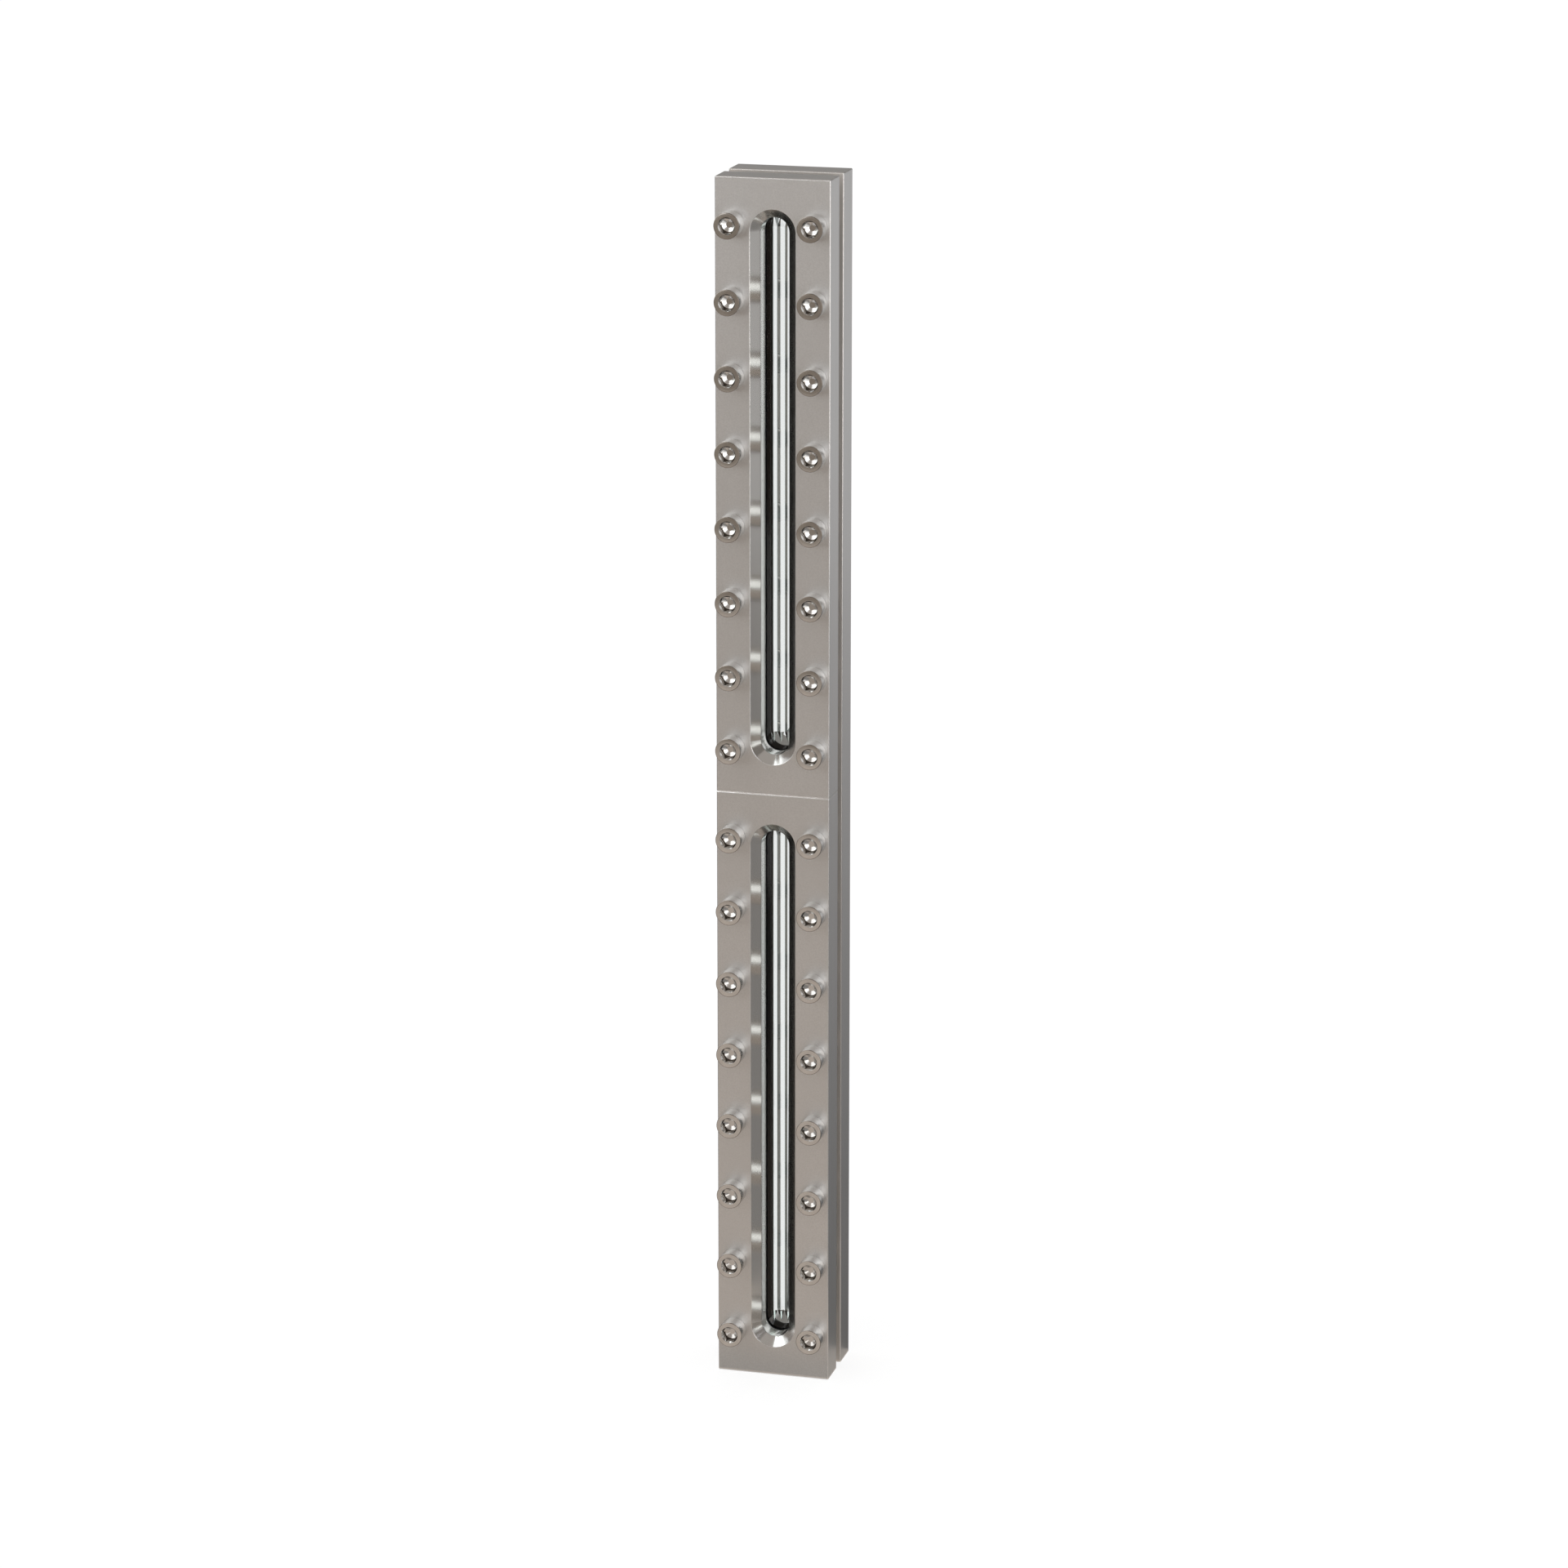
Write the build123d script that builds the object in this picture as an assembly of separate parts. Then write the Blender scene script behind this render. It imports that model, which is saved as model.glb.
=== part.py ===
from build123d import *
import os

# Reflex level gauge, long weld-on form: two glazed sections on one base bar.
# Row frame in millimetres: origin at the centre of the rear weld face, front faces -Y, +Z up.

# Plates
PLATE_WIDTH = 80.0  # covers and base share one width
COVER_THICKNESS = 23.0
BASE_THICKNESS = 23.0
END_LAND = 12.0  # metal beyond each end of a glass
EDGE_BREAK = 0.5  # small chamfer on the outer edges of the plates

# Glass, to the long rectangular form with round ends
GLASS_LENGTH = 400.0
GLASS_WIDTH = 34.0
GLASS_THICKNESS = 17.0
GLASS_ARRIS = 0.8  # chamfer round the glass's front edge
GROOVE_WIDTH = 4.5  # right-angled V grooves along the glass's back
GROOVE_LAND = 0.5  # flat strip between two grooves
GROOVE_RUN_OUT = 8.0  # length over which each groove end rises to the back face
GROOVE_END_GAP = 2.0  # from the tip of a groove to the end of the opening behind it

# Gaskets
CUSHION_THICKNESS = 2.0
SEAL_THICKNESS = 2.0
GASKET_EDGE_GAP = 0.4  # gasket outline inside the glass outline
END_RIM = 15.0  # rim of the glass that is clamped at each end
SIDE_RIM = 7.0  # and along each side

# Seats for the glass in both plates
COVER_POCKET_DEPTH = 5.5
BASE_SEAT_DEPTH = 3.5
GLASS_SIDE_CLEARANCE = 0.6

# Window, whose throat lines up with both gaskets and the liquid channel
WINDOW_BEVEL = 6.0  # 45 degree bevel round the mouth

# Hex socket cap screws, M12
SCREW_ROWS = 8
SCREW_EDGE_DISTANCE = 11.35  # from each column's axis to the side of the plates
SCREW_END_DISTANCE = 31.5  # first row from the end of a cover
SCREW_DIAMETER = 12.0
HEAD_DIAMETER = 18.0
HEAD_HEIGHT = 12.0
SOCKET_ACROSS_FLATS = 10.0
SOCKET_DEPTH = 6.0
CLEARANCE_HOLE_DIAMETER = 13.5
THREAD_CLEARANCE = 0.1  # radial, the thread itself is left out
TAPPED_HOLE_FLOOR = 5.0  # metal left behind each tapped hole
TAP_RUN_OUT = 3.0  # empty depth past the screw's end

# Sizes that follow
cover_length = GLASS_LENGTH + 2 * END_LAND
base_length = 2 * cover_length
opening_length = GLASS_LENGTH - 2 * END_RIM
opening_width = GLASS_WIDTH - 2 * SIDE_RIM
clamped_stack = CUSHION_THICKNESS + GLASS_THICKNESS + SEAL_THICKNESS
plate_gap = clamped_stack - COVER_POCKET_DEPTH - BASE_SEAT_DEPTH
base_front = -BASE_THICKNESS
seat_floor = base_front + BASE_SEAT_DEPTH
glass_back = seat_floor - SEAL_THICKNESS
glass_front = glass_back - GLASS_THICKNESS
pocket_floor = glass_front - CUSHION_THICKNESS
cover_back = base_front - plate_gap
cover_front = cover_back - COVER_THICKNESS
groove_pitch = GROOVE_WIDTH + GROOVE_LAND
groove_depth = GROOVE_WIDTH / 2
groove_length = opening_length - 2 * GROOVE_END_GAP
groove_count = int((opening_width + GROOVE_LAND) // groove_pitch)
tapped_hole_depth = BASE_THICKNESS - TAPPED_HOLE_FLOOR
thread_engagement = tapped_hole_depth - TAP_RUN_OUT
screw_length = COVER_THICKNESS + plate_gap + thread_engagement
screw_row_pitch = (cover_length - 2 * SCREW_END_DISTANCE) / (SCREW_ROWS - 1)
section_centres = {"upper": cover_length / 2, "lower": -cover_length / 2}
column_reach = PLATE_WIDTH / 2 - SCREW_EDGE_DISTANCE
column_sides = {"left": -column_reach, "right": column_reach}


def along_depth(y_front, x=0.0, z=0.0):
    """A plane facing the back, drawn with X across and Z up, at depth y_front."""
    return Plane(origin=(x, y_front, z), x_dir=(-1, 0, 0), z_dir=(0, 1, 0))


def long_slot(length, width, y_front, y_back):
    """A bar with fully rounded ends, upright, from y_front to y_back."""
    outline = along_depth(y_front) * SlotOverall(length, width, rotation=90)
    return extrude(outline, amount=y_back - y_front, dir=(0, 1, 0))


def plate(length, y_front, y_back):
    """A rectangular plate with its outer edges broken."""
    block = Pos(0, (y_front + y_back) / 2, 0) * Box(PLATE_WIDTH, y_back - y_front, length)
    return chamfer(block.edges(), EDGE_BREAK)


def hole_rows(diameter, y_front, y_back):
    """The round holes for all the screws of one section."""
    circles = Sketch() + [
        along_depth(y_front) * Pos(-x, z) * Circle(diameter / 2)
        for x in column_sides.values()
        for z in screw_heights()
    ]
    return extrude(circles, amount=y_back - y_front, dir=(0, 1, 0))


def screw_heights():
    """Heights of the screw rows about the section's centre."""
    first = -cover_length / 2 + SCREW_END_DISTANCE
    return [first + row * screw_row_pitch for row in range(SCREW_ROWS)]


def window_cutter():
    """Bevelled mouth and straight throat of the window."""
    mouth_length = opening_length + 2 * WINDOW_BEVEL
    mouth_width = opening_width + 2 * WINDOW_BEVEL
    mouth = along_depth(cover_front) * SlotOverall(mouth_length, mouth_width, rotation=90)
    bevel = extrude(mouth, amount=WINDOW_BEVEL, dir=(0, 1, 0), taper=45)
    throat = long_slot(opening_length, opening_width, cover_front, cover_back)
    return bevel + throat


def glass_pocket(y_front, y_back):
    """Room for the glass with its side clearance."""
    grown = 2 * GLASS_SIDE_CLEARANCE
    return long_slot(GLASS_LENGTH + grown, GLASS_WIDTH + grown, y_front, y_back)


def cover_frame():
    """Front frame of one section: window, glass pocket and clearance holes."""
    frame = plate(cover_length, cover_front, cover_back)
    frame -= window_cutter()
    frame -= glass_pocket(pocket_floor, cover_back)
    frame -= hole_rows(CLEARANCE_HOLE_DIAMETER, cover_front, cover_back)
    return frame


def base_body():
    """Base bar with a glass seat, liquid channel and tapped holes for each section."""
    bar = plate(base_length, base_front, 0)
    hole_diameter = SCREW_DIAMETER + 2 * THREAD_CLEARANCE
    for centre in section_centres.values():
        bar -= Pos(0, 0, centre) * glass_pocket(base_front, seat_floor)
        bar -= Pos(0, 0, centre) * long_slot(opening_length, opening_width, seat_floor, 0)
        bar -= Pos(0, 0, centre) * hole_rows(hole_diameter, base_front, base_front + tapped_hole_depth)
    return bar


def groove_cutter():
    """One V groove: a triangular prism whose ends rise to a point on the back face."""
    half_full = groove_length / 2 - GROOVE_RUN_OUT
    half_width = GROOVE_WIDTH / 2
    profile = Plane.XY * make_face(
        Polyline((-half_width, glass_back), (0, glass_back - groove_depth), (half_width, glass_back), close=True)
    )
    middle = extrude(Pos(0, 0, -half_full) * profile, amount=2 * half_full)
    top_end = loft([Pos(0, 0, half_full) * profile, Vertex(0, glass_back, groove_length / 2)])
    bottom_end = mirror(top_end, about=Plane.XY)
    return middle + top_end + bottom_end


def reflex_glass():
    """Thick flat glass with rounded ends and right-angled prisms along its back."""
    glass = long_slot(GLASS_LENGTH, GLASS_WIDTH, glass_front, glass_back)
    front_edges = glass.faces().sort_by(Axis.Y)[0].edges()
    glass = chamfer(front_edges, GLASS_ARRIS)
    groove = groove_cutter()
    for index in range(groove_count):
        x = (index - (groove_count - 1) / 2) * groove_pitch
        glass -= Pos(x, 0, 0) * groove
    return glass


def flat_gasket(y_front, thickness):
    """Flat ring on the clamped rim of the glass."""
    shrunk = 2 * GASKET_EDGE_GAP
    ring = long_slot(GLASS_LENGTH - shrunk, GLASS_WIDTH - shrunk, y_front, y_front + thickness)
    return ring - long_slot(opening_length, opening_width, y_front, y_front + thickness)


def cap_screw():
    """Hex socket cap screw with its head's underside on the cover's front face."""
    head = along_depth(cover_front - HEAD_HEIGHT) * Circle(HEAD_DIAMETER / 2)
    shank = along_depth(cover_front) * Circle(SCREW_DIAMETER / 2)
    socket = along_depth(cover_front - HEAD_HEIGHT) * RegularPolygon(
        SOCKET_ACROSS_FLATS / 2, 6, major_radius=False
    )
    screw = extrude(head, amount=HEAD_HEIGHT, dir=(0, 1, 0))
    screw += extrude(shank, amount=screw_length, dir=(0, 1, 0))
    return screw - extrude(socket, amount=SOCKET_DEPTH, dir=(0, 1, 0))


def screw_column(x, centre):
    """The screws of one column of a section, as separate solids."""
    screw = cap_screw()
    return Compound(children=[Pos(x, 0, centre + z) * screw for z in screw_heights()])


def write_node(name, shape):
    """One STEP file per sub-part."""
    shape.label = name
    export_step(shape, os.path.join("parts", name + ".step"))


os.makedirs("parts", exist_ok=True)
write_node("base_body", base_body())
frame = cover_frame()
glass = reflex_glass()
cushion = flat_gasket(pocket_floor, CUSHION_THICKNESS)
seal = flat_gasket(glass_back, SEAL_THICKNESS)
for section, centre in section_centres.items():
    write_node(section + "_cover_frame", Pos(0, 0, centre) * frame)
    write_node(section + "_cushion_gasket", Pos(0, 0, centre) * cushion)
    write_node(section + "_reflex_glass", Pos(0, 0, centre) * glass)
    write_node(section + "_sealing_gasket", Pos(0, 0, centre) * seal)
    for side, x in column_sides.items():
        write_node(section + "_screws_" + side, screw_column(x, centre))
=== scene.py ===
import math

import bmesh
import bpy
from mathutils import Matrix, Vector


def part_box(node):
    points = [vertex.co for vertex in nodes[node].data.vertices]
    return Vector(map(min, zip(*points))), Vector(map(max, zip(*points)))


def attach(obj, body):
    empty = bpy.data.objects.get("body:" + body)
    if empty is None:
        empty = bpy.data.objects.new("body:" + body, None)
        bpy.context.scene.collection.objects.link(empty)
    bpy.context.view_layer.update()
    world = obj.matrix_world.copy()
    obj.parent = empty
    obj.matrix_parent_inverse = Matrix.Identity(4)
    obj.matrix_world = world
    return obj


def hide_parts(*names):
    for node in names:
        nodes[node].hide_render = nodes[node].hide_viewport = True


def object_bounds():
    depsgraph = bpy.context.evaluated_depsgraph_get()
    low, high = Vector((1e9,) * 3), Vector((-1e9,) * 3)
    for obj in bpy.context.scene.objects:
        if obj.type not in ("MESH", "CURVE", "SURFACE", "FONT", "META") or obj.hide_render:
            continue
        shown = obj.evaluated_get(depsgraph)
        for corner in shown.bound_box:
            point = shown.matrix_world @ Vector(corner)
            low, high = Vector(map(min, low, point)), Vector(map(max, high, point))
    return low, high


# Looks of the reflex level gauge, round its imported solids.
# Metres, in the row frame: the front faces -Y and +Z is up. Colours are linear.

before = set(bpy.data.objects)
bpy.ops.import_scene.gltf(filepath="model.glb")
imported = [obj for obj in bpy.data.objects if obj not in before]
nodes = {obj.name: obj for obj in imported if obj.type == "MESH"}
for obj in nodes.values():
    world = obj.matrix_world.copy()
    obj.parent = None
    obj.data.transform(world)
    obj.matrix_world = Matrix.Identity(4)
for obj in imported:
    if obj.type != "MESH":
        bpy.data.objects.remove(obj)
cad_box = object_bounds()
scene = bpy.context.scene

MM = 0.001
SECTIONS = ("upper", "lower")
SIDES = ("left", "right")
WHITE = (1.0, 1.0, 1.0, 1.0)

# Screws, M12 with a hex socket. Depths run along +Y from the head's front face.
SCREW_ROWS = 8
HEAD_RADIUS = 9.0 * MM
HEAD_HEIGHT = 12.0 * MM
HEAD_EDGE_RADIUS = 0.4 * MM
HEAD_FOOT_CHAMFER = 0.3 * MM
COUNTERSINK_RADIUS = 5.9 * MM
COUNTERSINK_DEPTH = 1.1 * MM
HEX_INRADIUS = 5.0 * MM
SOCKET_DEPTH = 7.2 * MM  # at the flat middle of the socket's floor
SOCKET_FLAT_RADIUS = 2.1 * MM
SOCKET_FLOOR_SLOPE = math.tan(math.radians(22))
SHANK_RADIUS = 6.0 * MM
PLAIN_SHANK = 14.0 * MM
THREAD_PITCH = 1.75 * MM
THREAD_DEPTH = 1.05 * MM
THREAD_CREST = THREAD_PITCH / 8
THREAD_HALF_ROOT = THREAD_PITCH * 0.47  # leaves a narrow strip of the core between turns
THREAD_OVERLAP = 0.05 * MM  # the ridge's foot lies inside the core
TIP_CHAMFER = 1.0 * MM
ROUND_SEGMENTS = 96
THREAD_SEGMENTS = 32
EDGE_STEPS = 6
SHARP_ANGLE = math.radians(18)

# Regions of a screw, for its finish and its painted shade; a tilt is the size of a face normal's
# Y
SOCKET_REACH = HEX_INRADIUS * 1.2  # takes in the hex corners
SOCKET_WALL_TILT = 0.2
CONE_TILT = 0.98  # below it a socket's floor is the cone, not the flat
CONE_START = COUNTERSINK_DEPTH * 1.5
RIM_START = HEX_INRADIUS * 0.93  # outer rim of the socket's floor
# painted shade: deeper than this, the socket's hex walls and the lower rim of its floor are dark
SOCKET_SHADE_DEPTH = 4.3 * MM
HEAD_SIDE_BLEND = (8.6 * MM, 8.8 * MM)

# Regions of the plates, for their finishes and their painted light and shade
SECTION_MIDDLE = cad_box[1].z / 2
COVER_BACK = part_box("upper_cover_frame")[1].y
BASE_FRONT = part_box("base_body")[0].y
WALL_REACH = 11.0 * MM  # windows and channels are within this of the axis
WINDOW_REACH = 190.0 * MM  # and within this of their section's middle
OUTER_SIDE = 2 * WALL_REACH
OUTER_END = WINDOW_REACH + WALL_REACH
WALL_TILT = 0.3
FLAT_TILT = 0.9
BEVEL_TILT_RISE = (0.55, 0.65)
BEVEL_TILT_FALL = (0.76, 0.86)
CHANNEL_END_RISE = 0.5  # size of the normal's Z, past which a channel's side is its end

# Colours of the plates
PLATE_TONES = ((0.65, 0.642, 0.634), (0.715, 0.707, 0.70))
PLATE_SPECKLE = (0.605, 0.597, 0.59)
# painted light in the gap between cover and base: its facing faces get a warmer colour of their
# own, set for how bright the gap reads
GAP_PAINTED_LIGHT = (0.63, 0.595, 0.56)
BEVEL = (0.66, 0.65, 0.635)
# machined steel, made lighter on the window walls as painted light
WINDOW_WALL_LIT = (0.74, 0.73, 0.71)
# painted shade: the channel sides inside the base, behind the glass, are darker and greener than
# the steel
CHANNEL_SIDE_SHADE = (0.34, 0.375, 0.365)
# painted highlight: the chamfers on the plates' outer edges are much lighter than the steel
EDGE_HIGHLIGHT = (0.88, 0.87, 0.86)

# Colours of the screws
SCREW_TONES = ((0.62, 0.605, 0.585), (0.70, 0.685, 0.665))
# painted shade: a dark colour on the head's rounded front edge, which tones down its reflections
HEAD_EDGE_SHADE = (0.30, 0.27, 0.24)
# painted shade in the socket's deep corner, on its walls and lower rim
SOCKET_SHADE = (0.10, 0.085, 0.07)

# Roughness of the steel; a pair is a range for noise
BLASTED = (0.35, 0.41)
JOINT_ROUGHNESS = 0.55
MACHINED = 0.15
TURNED = (0.08, 0.14)
HEAD_SIDE_ROUGHNESS = 0.27
CONE_ROUGHNESS = 0.18

# Noise: features per metre, detail and roughness
PLATE_CLOUDS = (14.0, 4.0, 0.55)
PLATE_GRAIN = (900.0, 2.0, 0.7)
SCREW_CLOUDS = (220.0, 3.0, 0.55)
SCREW_GRAIN = (3000.0, 2.0, 0.6)
GASKET_FIBRES = (1400.0, 3.0, 0.7)

# Parts of a noise's range that go over a whole mix
CLOUD_SPREAD = (0.3, 0.7)
SPECKLE_SPREAD = (0.25, 0.75)
FIBRE_SPREAD = (0.3, 0.75)
ROUGHNESS_SPREAD = (0.2, 0.8)

# Bumps: strength and height
PLATE_BUMP = (0.35, 0.03 * MM)
SCREW_BUMP = (0.08, 0.01 * MM)
GASKET_BUMP = (0.5, 0.1 * MM)
LEVEL = 0.5  # the grain's mean, on faces without grain
EDGE_ROUNDING = 0.7 * MM  # on the plates, in the shading
EDGE_SAMPLES = 4

# Glass and gaskets
GLASS_SURFACE = (0.895, 0.845, 0.865, 1.0)
GLASS_BODY = (0.70, 0.95, 0.86, 1.0)
GLASS_DENSITY = 20.0
GLASS_IOR = 1.48
GASKET_TONES = ((0.010, 0.010, 0.011), (0.034, 0.033, 0.035))
GASKET_ROUGHNESS = 0.75
GASKET_SPECULAR = 0.15

# Studio
AMBIENT_STRENGTH = 0.7
FLOOR_REACH = 12.0
FLOOR_GAP = 0.1 * MM
FLOOR_GLOW = 0.78
FLOOR_LIT = (0.35, 0.35, 0.35, 1.0)
FLOOR_PLAIN = (0.8, 0.79, 0.78, 1.0)
CARD_LIFT = 1.0 * MM
ROOM_FRONT = -2.7
ROOM_BACK = 2.6
ROOM_SIDE = 2.5
ROOM_TOP = 2.4
ROOM_BELT = 0.3  # height at which the walls' low cards end
ROOM_WIDTH = (-ROOM_SIDE, ROOM_SIDE)
ROOM_LENGTH = (ROOM_FRONT, ROOM_BACK)
MAT_JOINT = 0.15
LAMP_PLACE = (-1.9, -2.2, 2.0)
LAMP_WIDTH = 1.0
LAMP_RADIANCE = 1.2

# Camera, at the photograph's place and angle of view
CAMERA_PLACE = (0.905312, -3.381904, 0.935355)
CAMERA_TARGET = (0.00788, -0.058, 0.00831)
CAMERA_LENS = 119.74
SENSOR_WIDTH = 36.0


def node_tree(name):
    """A new material and its emptied node tree."""
    material = bpy.data.materials.new(name)
    material.use_nodes = True
    tree = material.node_tree
    tree.nodes.clear()
    return material, tree


def add(tree, kind, **inputs):
    """A node with the given input values, by socket name with spaces as underscores."""
    node = tree.nodes.new(kind)
    for key, value in inputs.items():
        node.inputs[key.replace("_", " ")].default_value = value
    return node


def link(tree, source, target):
    tree.links.new(source, target)


def set_output(tree, shader, **links):
    """Links the shader's inputs and then the material's surface."""
    for key, source in links.items():
        link(tree, source, shader.inputs[key.replace("_", " ")])
    output = tree.nodes.new("ShaderNodeOutputMaterial")
    link(tree, shader.outputs[0], output.inputs["Surface"])
    return output


def object_coords(tree):
    return add(tree, "ShaderNodeTexCoord").outputs["Object"]


def noise(tree, coords, scale, detail, rough):
    """Noise with scale in features per metre."""
    node = add(tree, "ShaderNodeTexNoise", Scale=scale, Detail=detail, Roughness=rough)
    link(tree, coords, node.inputs["Vector"])
    return node.outputs["Fac"]


def bump(tree, height, strength, distance):
    """A bump node over the given heights from 0 to 1."""
    node = add(tree, "ShaderNodeBump", Strength=strength, Distance=distance)
    link(tree, height, node.inputs["Height"])
    return node


def remap(tree, value, low, high, to=(0.0, 1.0)):
    """The value, with the range from low to high spread over another range."""
    node = add(tree, "ShaderNodeMapRange")
    for index, number in enumerate((low, high, *to)):
        node.inputs[index + 1].default_value = number
    link(tree, value, node.inputs[0])
    return node.outputs[0]


def mix_values(tree, factor, a, b):
    """Mix of two floats; a and b are sockets or numbers."""
    node = tree.nodes.new("ShaderNodeMix")
    link(tree, factor, node.inputs[0])
    for index, item in ((2, a), (3, b)):
        if isinstance(item, float):
            node.inputs[index].default_value = item
        else:
            link(tree, item, node.inputs[index])
    return node.outputs[0]


def mix_colours(tree, factor, a, b):
    """Mix of two colours; a and b are sockets or colours."""
    node = tree.nodes.new("ShaderNodeMix")
    node.data_type = "RGBA"
    link(tree, factor, node.inputs[0])
    for index, item in ((6, a), (7, b)):
        if isinstance(item, tuple):
            node.inputs[index].default_value = (*item, 1.0)
        else:
            link(tree, item, node.inputs[index])
    return node.outputs[2]


def calculate(tree, operation, a, b=None):
    """One step of arithmetic; a is a socket, b a socket, a number or nothing."""
    node = tree.nodes.new("ShaderNodeMath")
    node.operation = operation
    link(tree, a, node.inputs[0])
    if isinstance(b, float):
        node.inputs[1].default_value = b
    elif b is not None:
        link(tree, b, node.inputs[1])
    return node.outputs[0]


def size_of(tree, value):
    return calculate(tree, "ABSOLUTE", value)


def under(tree, value, limit):
    """1 where the value is under the limit, else 0."""
    return calculate(tree, "LESS_THAN", value, limit)


def over(tree, value, limit):
    """1 where the value is over the limit, else 0."""
    return calculate(tree, "GREATER_THAN", value, limit)


def both(tree, first, *others):
    """1 where every mask is 1."""
    for mask in others:
        first = calculate(tree, "MULTIPLY", first, mask)
    return first


def either(tree, a, b):
    """1 where one of two masks is 1."""
    return calculate(tree, "MAXIMUM", a, b)


def split(tree, vector):
    node = tree.nodes.new("ShaderNodeSeparateXYZ")
    link(tree, vector, node.inputs[0])
    return node.outputs


def surface_normal(tree):
    return split(tree, add(tree, "ShaderNodeNewGeometry").outputs["Normal"])


def plate_regions(tree, coords):
    """Masks by name for the finishes of covers and base, and for their painted light and shade.
    """
    place = split(tree, coords)
    normal = surface_normal(tree)
    tilt = size_of(tree, normal["Y"])
    aside = size_of(tree, place["X"])
    height = size_of(tree, place["Z"])
    from_middle = size_of(tree, calculate(tree, "SUBTRACT", height, SECTION_MIDDLE))
    upright = under(tree, tilt, WALL_TILT)

    rising = remap(tree, tilt, *BEVEL_TILT_RISE)
    falling = remap(tree, tilt, *BEVEL_TILT_FALL, (1.0, 0.0))
    beside = under(tree, aside, WALL_REACH)
    within = under(tree, from_middle, WINDOW_REACH)
    wall = both(tree, beside, within, upright)

    behind_cover = over(tree, place["Y"], COVER_BACK - MM)
    before_base = under(tree, place["Y"], BASE_FRONT + MM)
    in_base = over(tree, place["Y"], BASE_FRONT)
    sideways = under(tree, size_of(tree, normal["Z"]), CHANNEL_END_RISE)
    return {
        "machined": either(tree, both(tree, rising, falling), wall),
        "broken": either(tree, over(tree, aside, OUTER_SIDE), over(tree, from_middle, OUTER_END)),
        "joint": both(tree, behind_cover, before_base, over(tree, tilt, FLAT_TILT)),
        "upright": upright,
        "channel_side": both(tree, in_base, sideways),
    }


def steel_plate():
    """Blasted stainless steel, with smoother machined bevels, walls and edges; painted light on
    the gap faces, the window walls and the edge chamfers, and painted shade on the channel sides.
    """
    material, tree = node_tree("steel_plate")
    coords = object_coords(tree)
    region = plate_regions(tree, coords)
    clouds = noise(tree, coords, *PLATE_CLOUDS)
    grain = noise(tree, coords, *PLATE_GRAIN)

    tone = mix_colours(tree, remap(tree, clouds, *CLOUD_SPREAD), *PLATE_TONES)
    speckled = mix_colours(tree, remap(tree, grain, *SPECKLE_SPREAD), PLATE_SPECKLE, tone)
    # painted light on the faces inside the gap between cover and base
    speckled_gap_lit = mix_colours(tree, region["joint"], speckled, GAP_PAINTED_LIGHT)
    # the window walls take a lighter copy of the machined steel: painted light
    bevel_or_lit_wall = mix_colours(tree, region["upright"], BEVEL, WINDOW_WALL_LIT)
    # painted shade on the channel sides behind the glass
    walls = mix_colours(tree, region["channel_side"], bevel_or_lit_wall, CHANNEL_SIDE_SHADE)
    # painted highlight on the outer edge chamfers
    with_edge_highlight = mix_colours(tree, region["broken"], walls, EDGE_HIGHLIGHT)
    colour = mix_colours(tree, region["machined"], speckled_gap_lit, with_edge_highlight)

    blasted = remap(tree, grain, *ROUGHNESS_SPREAD, BLASTED)
    unmachined = mix_values(tree, region["joint"], blasted, JOINT_ROUGHNESS)
    roughness = mix_values(tree, region["machined"], unmachined, MACHINED)

    relief = bump(tree, mix_values(tree, region["machined"], grain, LEVEL), *PLATE_BUMP)
    rounded = add(tree, "ShaderNodeBevel", Radius=EDGE_ROUNDING)
    rounded.samples = EDGE_SAMPLES
    link(tree, rounded.outputs[0], relief.inputs["Normal"])
    shader = add(tree, "ShaderNodeBsdfPrincipled", Metallic=1.0)
    set_output(tree, shader, Base_Color=colour, Roughness=roughness, Normal=relief.outputs[0])
    return material


def distance_from_axis(tree, place):
    """Distance from a screw's own axis."""
    across = add(tree, "ShaderNodeCombineXYZ")
    link(tree, place["X"], across.inputs["X"])
    link(tree, place["Z"], across.inputs["Z"])
    length = tree.nodes.new("ShaderNodeVectorMath")
    length.operation = "LENGTH"
    link(tree, across.outputs[0], length.inputs[0])
    return length.outputs["Value"]


def screw_regions(tree, coords):
    """Masks by name for the finish of a screw and for its painted shade."""
    place = split(tree, coords)
    depth = place["Y"]
    radius = distance_from_axis(tree, place)
    tilt = size_of(tree, surface_normal(tree)["Y"])
    in_socket = under(tree, radius, SOCKET_REACH)

    wall = under(tree, tilt, SOCKET_WALL_TILT)
    lower_rim = both(tree, over(tree, radius, RIM_START), under(tree, place["Z"], 0.0))
    foot = both(tree, over(tree, depth, SOCKET_SHADE_DEPTH), under(tree, depth, HEAD_HEIGHT))
    at_edge = over(tree, radius, HEAD_RADIUS - HEAD_EDGE_RADIUS)
    at_front = under(tree, depth, HEAD_EDGE_RADIUS)
    deep = over(tree, depth, CONE_START)
    return {
        "head_side": remap(tree, radius, *HEAD_SIDE_BLEND),
        "socket_shade": both(tree, in_socket, either(tree, wall, lower_rim), foot),
        "head_edge_shade": both(tree, at_edge, at_front),
        "cone": both(tree, in_socket, deep, under(tree, tilt, CONE_TILT)),
    }


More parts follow.
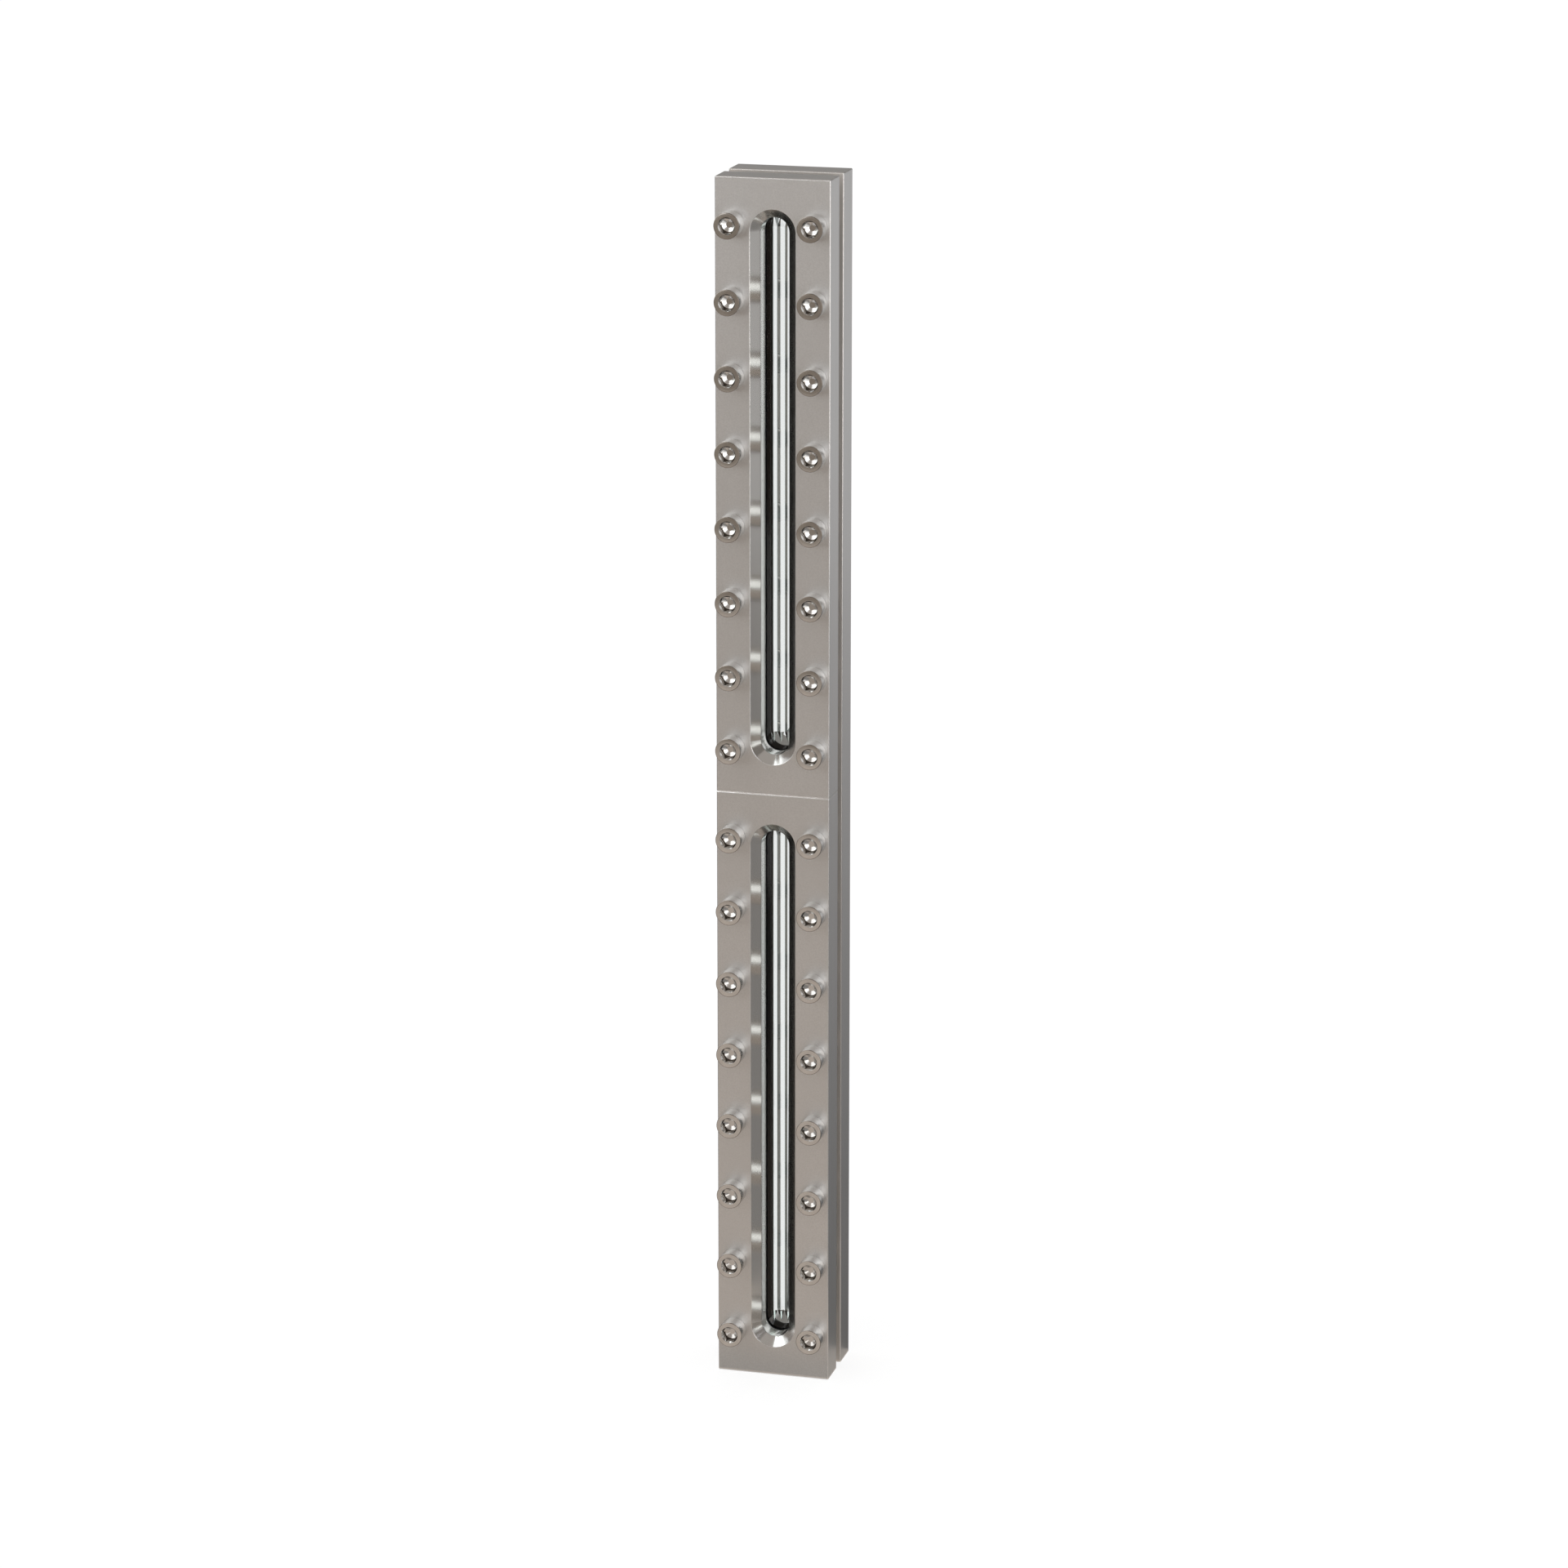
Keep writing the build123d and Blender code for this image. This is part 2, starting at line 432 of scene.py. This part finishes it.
def screw_steel():
    """Bright turned stainless steel, with painted shade on the head's edge and in the socket's
    foot.
    """
    material, tree = node_tree("screw_steel")
    coords = object_coords(tree)
    region = screw_regions(tree, coords)
    clouds = noise(tree, coords, *SCREW_CLOUDS)
    grain = noise(tree, coords, *SCREW_GRAIN)

    bright = mix_colours(tree, remap(tree, clouds, *CLOUD_SPREAD), *SCREW_TONES)
    # painted shade on the head's rounded front edge
    edge_shaded = mix_colours(tree, region["head_edge_shade"], bright, HEAD_EDGE_SHADE)
    # painted shade in the socket's deep lower corner
    colour = mix_colours(tree, region["socket_shade"], edge_shaded, SOCKET_SHADE)
    turned = remap(tree, grain, *ROUGHNESS_SPREAD, TURNED)
    sided = mix_values(tree, region["head_side"], turned, HEAD_SIDE_ROUGHNESS)
    roughness = mix_values(tree, region["cone"], sided, CONE_ROUGHNESS)

    relief = bump(tree, grain, *SCREW_BUMP)
    shader = add(tree, "ShaderNodeBsdfPrincipled", Metallic=1.0)
    set_output(tree, shader, Base_Color=colour, Roughness=roughness, Normal=relief.outputs[0])
    return material


def gauge_glass():
    """Clear borosilicate glass, green along its length."""
    material, tree = node_tree("gauge_glass")
    shader = add(
        tree, "ShaderNodeBsdfPrincipled", Base_Color=GLASS_SURFACE, Roughness=0.0,
        IOR=GLASS_IOR, Transmission_Weight=1.0,
    )
    output = set_output(tree, shader)
    body = add(tree, "ShaderNodeVolumeAbsorption", Color=GLASS_BODY, Density=GLASS_DENSITY)
    link(tree, body.outputs[0], output.inputs["Volume"])
    return material


def gasket_sheet():
    """Black compressed gasket sheet with a fibrous edge."""
    material, tree = node_tree("gasket_sheet")
    fibres = noise(tree, object_coords(tree), *GASKET_FIBRES)
    colour = mix_colours(tree, remap(tree, fibres, *FIBRE_SPREAD), *GASKET_TONES)
    relief = bump(tree, fibres, *GASKET_BUMP)
    shader = add(
        tree, "ShaderNodeBsdfPrincipled",
        Roughness=GASKET_ROUGHNESS, Specular_IOR_Level=GASKET_SPECULAR,
    )
    set_output(tree, shader, Base_Color=colour, Normal=relief.outputs[0])
    return material


def ring(mesh, radius_at, depth_at):
    """A closed ring of vertices round the screw's axis."""
    made = []
    for step in range(ROUND_SEGMENTS):
        angle = 2 * math.pi * step / ROUND_SEGMENTS
        radius = radius_at(angle)
        x, z = radius * math.cos(angle), radius * math.sin(angle)
        made.append(mesh.verts.new((x, depth_at(radius), z)))
    return made


def bridge(mesh, a, b):
    """Faces between two rings of equal length."""
    for step, vertex in enumerate(a):
        after = (step + 1) % len(a)
        mesh.faces.new((vertex, a[after], b[after], b[step]))


def hexagon(angle):
    """Distance from the axis to the hex wall, with corners at left and right."""
    sector = math.radians(60)
    return HEX_INRADIUS / math.cos((angle % sector) - sector / 2)


def screw_mesh(length):
    """The screw's closed surface from the socket's floor to the tip, and its thread."""
    mesh = bmesh.new()
    rings = []
    floor_start = SOCKET_DEPTH + SOCKET_FLAT_RADIUS * SOCKET_FLOOR_SLOPE
    countersink_slope = COUNTERSINK_DEPTH / (COUNTERSINK_RADIUS - HEX_INRADIUS)
    thread_start = HEAD_HEIGHT + PLAIN_SHANK
    thread_end = length - TIP_CHAMFER
    core = SHANK_RADIUS - THREAD_DEPTH

    def outline(radius_at, depth_at):
        rings.append(ring(mesh, radius_at, depth_at))

    def circle(radius, depth):
        outline(lambda angle: radius, lambda r: depth)

    def floor_depth(radius):
        return floor_start - radius * SOCKET_FLOOR_SLOPE

    outline(lambda angle: SOCKET_FLAT_RADIUS, floor_depth)
    outline(hexagon, floor_depth)
    outline(hexagon, lambda r: (COUNTERSINK_RADIUS - r) * countersink_slope)
    circle(COUNTERSINK_RADIUS, 0.0)
    for step in range(EDGE_STEPS + 1):
        turn = math.pi / 2 * step / EDGE_STEPS
        out = HEAD_EDGE_RADIUS * (1 - math.sin(turn))
        down = HEAD_EDGE_RADIUS * (1 - math.cos(turn))
        circle(HEAD_RADIUS - out, down)
    circle(HEAD_RADIUS, HEAD_HEIGHT - HEAD_FOOT_CHAMFER)
    circle(HEAD_RADIUS - HEAD_FOOT_CHAMFER, HEAD_HEIGHT)
    circle(SHANK_RADIUS, HEAD_HEIGHT)
    circle(SHANK_RADIUS, thread_start)
    circle(core, thread_start + THREAD_DEPTH)
    circle(core, thread_end)
    circle(core - TIP_CHAMFER, length)
    for a, b in zip(rings, rings[1:]):
        bridge(mesh, a, b)
    mesh.faces.new(rings[0])
    mesh.faces.new(rings[-1])
    add_thread(mesh, thread_start, thread_end)

    bmesh.ops.recalc_face_normals(mesh, faces=mesh.faces)
    data = bpy.data.meshes.new("cap_screw")
    mesh.to_mesh(data)
    mesh.free()
    for face in data.polygons:
        face.use_smooth = True
    data.set_sharp_from_angle(angle=SHARP_ANGLE)
    return data


def add_thread(mesh, start, end):
    """A closed helical ridge on the thread's core."""
    root = SHANK_RADIUS - THREAD_DEPTH - THREAD_OVERLAP
    half_crest = THREAD_CREST / 2
    section = (
        (root, -THREAD_HALF_ROOT), (SHANK_RADIUS, -half_crest),
        (SHANK_RADIUS, half_crest), (root, THREAD_HALF_ROOT),
    )
    turns = (end - start - 2 * THREAD_HALF_ROOT) / THREAD_PITCH
    count = int(turns * THREAD_SEGMENTS)
    slices = []
    for step in range(count + 1):
        angle = 2 * math.pi * step / THREAD_SEGMENTS
        depth = start + THREAD_HALF_ROOT + THREAD_PITCH * step / THREAD_SEGMENTS
        slices.append([
            mesh.verts.new((radius * math.cos(angle), depth + shift, radius * math.sin(angle)))
            for radius, shift in section
        ])
    for a, b in zip(slices, slices[1:]):
        bridge(mesh, a, b)
    mesh.faces.new(slices[0])
    mesh.faces.new(slices[-1])


def add_screws(material):
    """One piece for each screw, where the CAD solids are."""
    data = None
    for section in SECTIONS:
        for side in SIDES:
            node = f"{section}_screws_{side}"
            low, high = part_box(node)
            if data is None:
                data = screw_mesh(high.y - low.y)
                data.materials.append(material)
            pitch = (high.z - low.z - 2 * HEAD_RADIUS) / (SCREW_ROWS - 1)
            for row in range(SCREW_ROWS):
                screw = bpy.data.objects.new(f"{section}_screw_{side}_{row + 1}", data)
                scene.collection.objects.link(screw)
                screw.location = ((low.x + high.x) / 2, low.y, low.z + HEAD_RADIUS + row * pitch)
                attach(screw, "root")
                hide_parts(node)


def seen_directly(tree):
    """1 for camera, glossy and transmission rays."""
    path = tree.nodes.new("ShaderNodeLightPath")
    total = path.outputs["Is Camera Ray"]
    for name in ("Is Glossy Ray", "Is Transmission Ray"):
        total = either(tree, total, path.outputs[name])
    return total


def mix_shaders(tree, factor, a, b):
    mix = tree.nodes.new("ShaderNodeMixShader")
    link(tree, factor, mix.inputs[0])
    link(tree, a.outputs[0], mix.inputs[1])
    link(tree, b.outputs[0], mix.inputs[2])
    return mix


def set_world():
    """A white background, and a weaker ambient light on rough surfaces."""
    world = bpy.data.worlds.new("studio")
    world.use_nodes = True
    tree = world.node_tree
    tree.nodes.clear()
    white = add(tree, "ShaderNodeBackground", Color=WHITE, Strength=1.0)
    ambient = add(tree, "ShaderNodeBackground", Color=WHITE, Strength=AMBIENT_STRENGTH)
    mix = mix_shaders(tree, seen_directly(tree), ambient, white)
    output = tree.nodes.new("ShaderNodeOutputWorld")
    link(tree, mix.outputs[0], output.inputs["Surface"])
    scene.world = world


def rectangle(name, corners, material):
    """A flat stage piece from four corners."""
    data = bpy.data.meshes.new(name)
    data.from_pydata([Vector(c) for c in corners], [], [(0, 1, 2, 3)])
    data.materials.append(material)
    piece = bpy.data.objects.new(name, data)
    scene.collection.objects.link(piece)
    return piece


def pale_floor():
    """White seen directly, with the shadow that the object casts on it."""
    material, tree = node_tree("pale_floor")
    glow = add(tree, "ShaderNodeEmission", Color=WHITE, Strength=FLOOR_GLOW)
    lit = add(tree, "ShaderNodeBsdfDiffuse", Color=FLOOR_LIT)
    glowing = tree.nodes.new("ShaderNodeAddShader")
    link(tree, glow.outputs[0], glowing.inputs[0])
    link(tree, lit.outputs[0], glowing.inputs[1])
    plain = add(tree, "ShaderNodeBsdfDiffuse", Color=FLOOR_PLAIN)
    set_output(tree, mix_shaders(tree, seen_directly(tree), plain, glowing))
    return material


def card_paint(name, colour, far_colour=None, span=None):
    """A glowing card, of one colour or with a gradient along Y over the given span."""
    material, tree = node_tree(name)
    glow = add(tree, "ShaderNodeEmission", Color=(*colour, 1.0), Strength=1.0)
    if far_colour:
        along = remap(tree, split(tree, object_coords(tree))["Y"], *span)
        link(tree, mix_colours(tree, along, colour, far_colour), glow.inputs["Color"])
    set_output(tree, glow)
    return material


def card(name, corners, *paint):
    """A card of the studio, which only reflections show."""
    piece = rectangle(name, corners, card_paint(name, *paint))
    piece.visible_camera = False
    piece.visible_diffuse = False
    piece.visible_transmission = False
    piece.visible_shadow = False


def flat_card(name, x, y, z, *paint):
    """A level card, from its spans across and along and its height."""
    corners = [(x[0], y[0], z), (x[1], y[0], z), (x[1], y[1], z), (x[0], y[1], z)]
    card(name, corners, *paint)


def cross_card(name, y, x, z, *paint):
    """An upright card across the studio, from its depth and its spans."""
    corners = [(x[0], y, z[0]), (x[1], y, z[0]), (x[1], y, z[1]), (x[0], y, z[1])]
    card(name, corners, *paint)


def side_card(name, x, y, z, *paint):
    """An upright card along the studio's side, from its place across and its spans."""
    corners = [(x, y[0], z[0]), (x, y[1], z[0]), (x, y[1], z[1]), (x, y[0], z[1])]
    card(name, corners, *paint)


def add_stage():
    """Floor, and the cards round the studio."""
    level = cad_box[0].z - FLOOR_GAP
    far = FLOOR_REACH
    corners = [(-far, -far, level), (far, -far, level), (far, far, level), (-far, far, level)]
    rectangle("floor", corners, pale_floor())

    add_mats(level + CARD_LIFT)
    add_walls(level + CARD_LIFT)
    add_roof()


def add_mats(level):
    """Level cards just over the floor."""
    tan_near, tan_far = (0.27, 0.235, 0.20), (0.55, 0.485, 0.43)
    rear_near, rear_far = (0.12, 0.12, 0.12), (0.49, 0.48, 0.48)
    tan_fade = (-2.9, -1.2)
    left, right = (-ROOM_SIDE, MAT_JOINT), (MAT_JOINT, ROOM_SIDE)
    behind = (0.0, ROOM_BACK)
    flat_card("tan_mat", left, (ROOM_FRONT, 0.0), level, tan_near, tan_far, tan_fade)
    flat_card("grey_mat", right, (-1.2, 0.0), level, (0.27, 0.26, 0.25))
    # painted shadow: a darker card at the object's foot stands in, in reflections, for the
    # floor's shade there
    flat_card("foot_shadow_card", (-0.4, 0.3), (-0.10, 0.0), level + CARD_LIFT, (0.41, 0.38, 0.35))
    flat_card("rear_mat", ROOM_WIDTH, behind, level, rear_near, rear_far, behind)


def add_walls(foot):
    """Upright cards on the four sides, a low and a high row."""
    low, high = (foot, ROOM_BELT), (ROOM_BELT, ROOM_TOP)

    left, middle, right = (-ROOM_SIDE, -0.8), (-0.8, 1.1), (1.1, ROOM_SIDE)
    cross_card("front_low_left", ROOM_FRONT, left, low, (0.29, 0.25, 0.21))
    cross_card("front_low_middle", ROOM_FRONT, middle, low, (0.26, 0.22, 0.185))
    cross_card("front_low_right", ROOM_FRONT, right, low, (3.2, 3.1, 3.0))
    left, middle, right = (-ROOM_SIDE, -0.8), (-0.8, 0.9), (0.9, ROOM_SIDE)
    cross_card("front_left", ROOM_FRONT, left, high, (1.7, 1.7, 1.7))
    cross_card("front_middle", ROOM_FRONT, middle, high, (0.42, 0.38, 0.35))
    cross_card("front_right", ROOM_FRONT, right, high, (2.9, 3.0, 3.1))

    cross_card("rear_low", ROOM_BACK, ROOM_WIDTH, low, (0.60, 0.60, 0.60))
    cross_card("rear_high", ROOM_BACK, ROOM_WIDTH, high, (0.29, 0.28, 0.27))

    near, rear = (ROOM_FRONT, -0.6), (-0.6, ROOM_BACK)
    side_card("left_low", -ROOM_SIDE, ROOM_LENGTH, low, (0.28, 0.27, 0.27))
    side_card("left_front", -ROOM_SIDE, near, high, (2.1, 2.2, 2.2))
    side_card("left_rear", -ROOM_SIDE, rear, high, (0.9, 0.9, 0.9))

    near, middle = (ROOM_FRONT, -1.6), (-1.6, -0.6)
    lower, upper = (ROOM_BELT, 1.3), (1.3, ROOM_TOP)
    side_card("right_low", ROOM_SIDE, ROOM_LENGTH, low, (0.52, 0.51, 0.50))
    side_card("right_front", ROOM_SIDE, near, lower, (1.8, 1.8, 1.9))
    side_card("right_front_high", ROOM_SIDE, near, upper, (0.3, 0.28, 0.26))
    side_card("right_middle", ROOM_SIDE, middle, high, (0.22, 0.20, 0.18))
    side_card("right_rear", ROOM_SIDE, rear, high, (0.85, 0.85, 0.85))


def add_roof():
    """Level cards overhead."""
    left, right = (-ROOM_SIDE, -0.8), (-0.8, ROOM_SIDE)
    near, rear = (ROOM_FRONT, -0.5), (-0.5, ROOM_BACK)
    flat_card("roof_left_front", left, near, ROOM_TOP, (2.2, 2.3, 2.3))
    flat_card("roof_left_rear", left, rear, ROOM_TOP, (0.6, 0.59, 0.58))
    flat_card("roof_right", right, ROOM_LENGTH, ROOM_TOP, (0.45, 0.42, 0.39))


def aim(item, place, target):
    """Puts a lamp or camera in the scene, turned to its target."""
    scene.collection.objects.link(item)
    item.location = place
    item.rotation_mode = "QUATERNION"
    item.rotation_quaternion = (Vector(target) - Vector(place)).to_track_quat("-Z", "Y")


def add_lamp():
    """One soft square lamp, aimed at the middle of the object."""
    lamp = bpy.data.lights.new("key_softbox", "AREA")
    lamp.shape = "SQUARE"
    lamp.size = LAMP_WIDTH
    lamp.energy = LAMP_RADIANCE * math.pi * LAMP_WIDTH ** 2
    aim(bpy.data.objects.new("key_softbox", lamp), LAMP_PLACE, (0.0, 0.0, 0.0))


def add_camera():
    data = bpy.data.cameras.new("camera")
    data.lens = CAMERA_LENS
    data.sensor_width = SENSOR_WIDTH
    camera = bpy.data.objects.new("camera", data)
    aim(camera, CAMERA_PLACE, CAMERA_TARGET)
    scene.camera = camera


def dress(names, material):
    """Gives CAD nodes their finish."""
    for name in names:
        nodes[name].material_slots[0].material = material


scene.view_settings.view_transform = "Standard"
add_camera()
set_world()
add_stage()
add_lamp()
plates = ["base_body"] + [f"{s}_cover_frame" for s in SECTIONS]
gaskets = [f"{s}_{kind}_gasket" for s in SECTIONS for kind in ("cushion", "sealing")]
dress(plates, steel_plate())
dress([f"{s}_reflex_glass" for s in SECTIONS], gauge_glass())
dress(gaskets, gasket_sheet())
add_screws(screw_steel())
